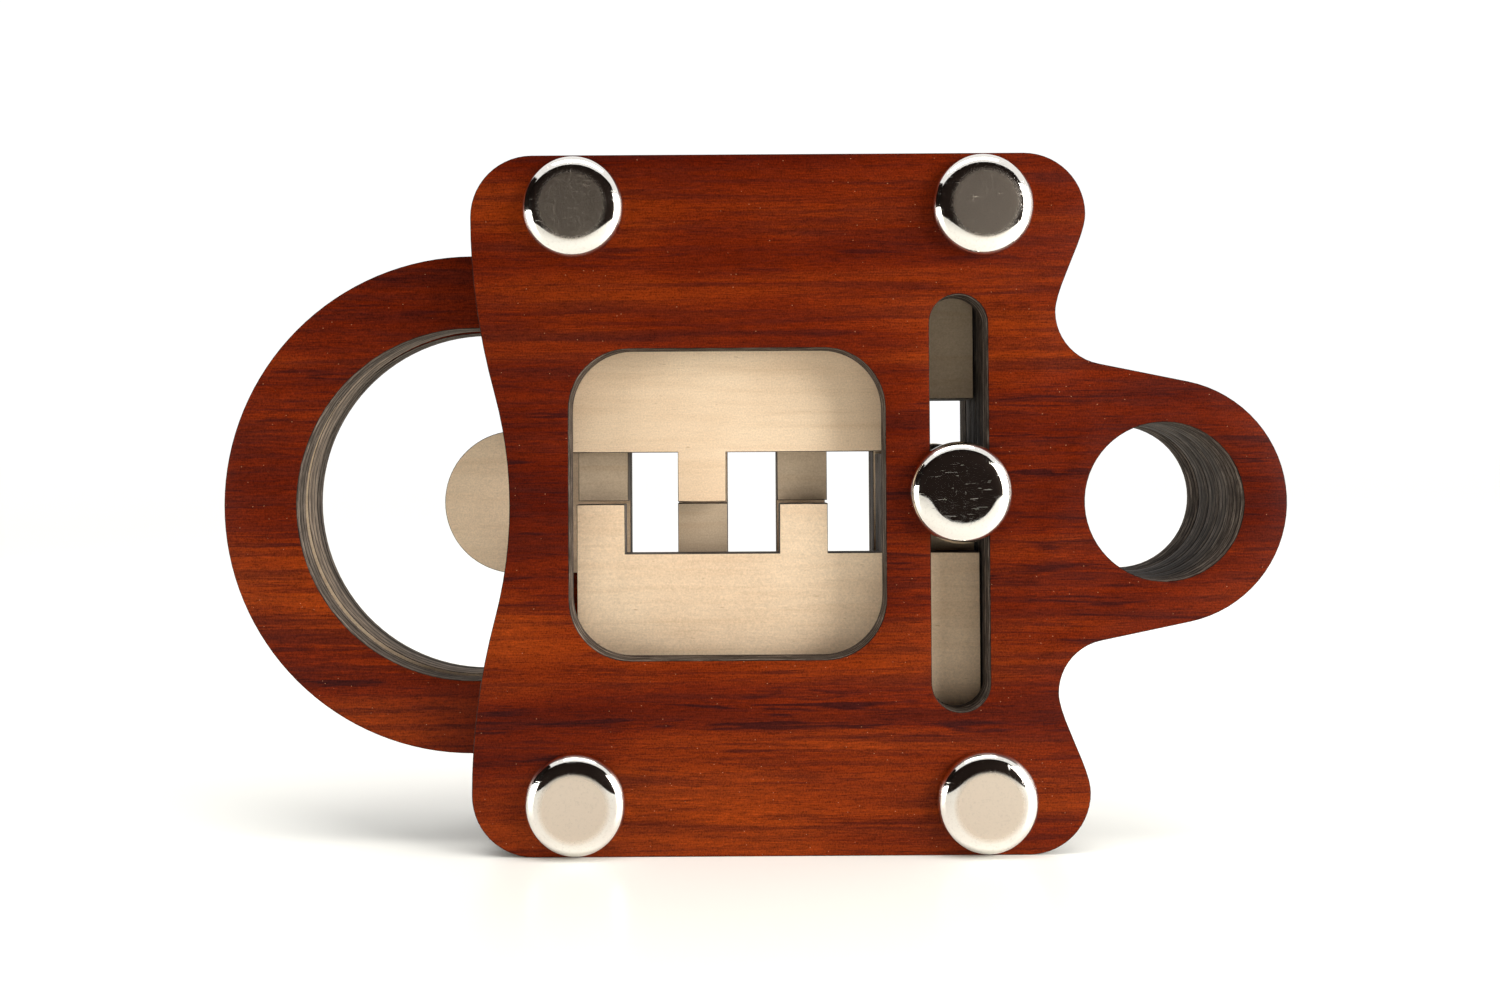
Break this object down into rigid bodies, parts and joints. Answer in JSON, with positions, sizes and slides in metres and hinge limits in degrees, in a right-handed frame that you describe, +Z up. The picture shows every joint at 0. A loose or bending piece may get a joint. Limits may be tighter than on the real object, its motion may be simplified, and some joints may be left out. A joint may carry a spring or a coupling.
{
  "type": "wooden puzzle box",
  "caption": "Padlock-shaped wooden lock puzzle: stacked sheets on capped rods, with a sliding shackle, combs behind a window, a thumb tab, a knob in a slot and a key loop.",
  "frame": {"origin": "under the middle of the lock's bounding box, on the surface it stands on", "axes": "+X from the shackle to the key loop along the longest side, -Y to the front along the thickness, +Z up"},
  "size_m": [0.1238, 0.022, 0.0806],
  "materials": {
    "veneer": "gloss veneer with a dark streaked grain",
    "frame_ply": "laser-cut plywood with charred edges",
    "shackle_ply": "dark stained plywood",
    "pale_ply": "bare pale plywood",
    "cap": "bright nickel plate with a satin centre",
    "rod": "plain drawn steel"
  },
  "bodies": {
    "case": {"front_plate": "veneer", "back_plate": "veneer", "front_frame": "frame_ply", "middle_frame": "frame_ply", "rear_frame": "frame_ply", "post_upper_left": "rod", "post_upper_right": "rod", "post_lower_left": "rod", "post_lower_right": "rod", "cap_front_upper_left": "cap", "cap_front_upper_right": "cap", "cap_front_lower_left": "cap", "cap_front_lower_right": "cap", "cap_rear_upper_left": "cap", "cap_rear_upper_right": "cap", "cap_rear_lower_left": "cap", "cap_rear_lower_right": "cap"},
    "shackle": {"shackle_front": "shackle_ply", "shackle_core": "pale_ply", "shackle_rear": "shackle_ply", "upper_comb": "pale_ply"},
    "lower_slider": {"lower_comb": "pale_ply", "lower_comb_middle": "pale_ply"},
    "thumb": {"thumb_slider": "pale_ply"},
    "knob": {"knob_rod": "rod", "knob_cap_front": "cap", "knob_cap_rear": "cap"}
  },
  "joints": [
    {"name": "shackle_pull", "type": "slide", "parent": "case", "child": "shackle", "axis": [-1, 0, 0], "range_m": [0, 0.034]},
    {"name": "lower_comb_slide", "type": "slide", "parent": "case", "child": "lower_slider", "axis": [-1, 0, 0], "range_m": [0, 0.0055]},
    {"name": "thumb_slide", "type": "slide", "parent": "case", "child": "thumb", "axis": [-1, 0, 0], "range_m": [0, 0.006]},
    {"name": "knob_slide", "type": "slide", "parent": "case", "child": "knob", "axis": [0, 0, 1], "range_m": [0, 0.0088]}
  ]
}
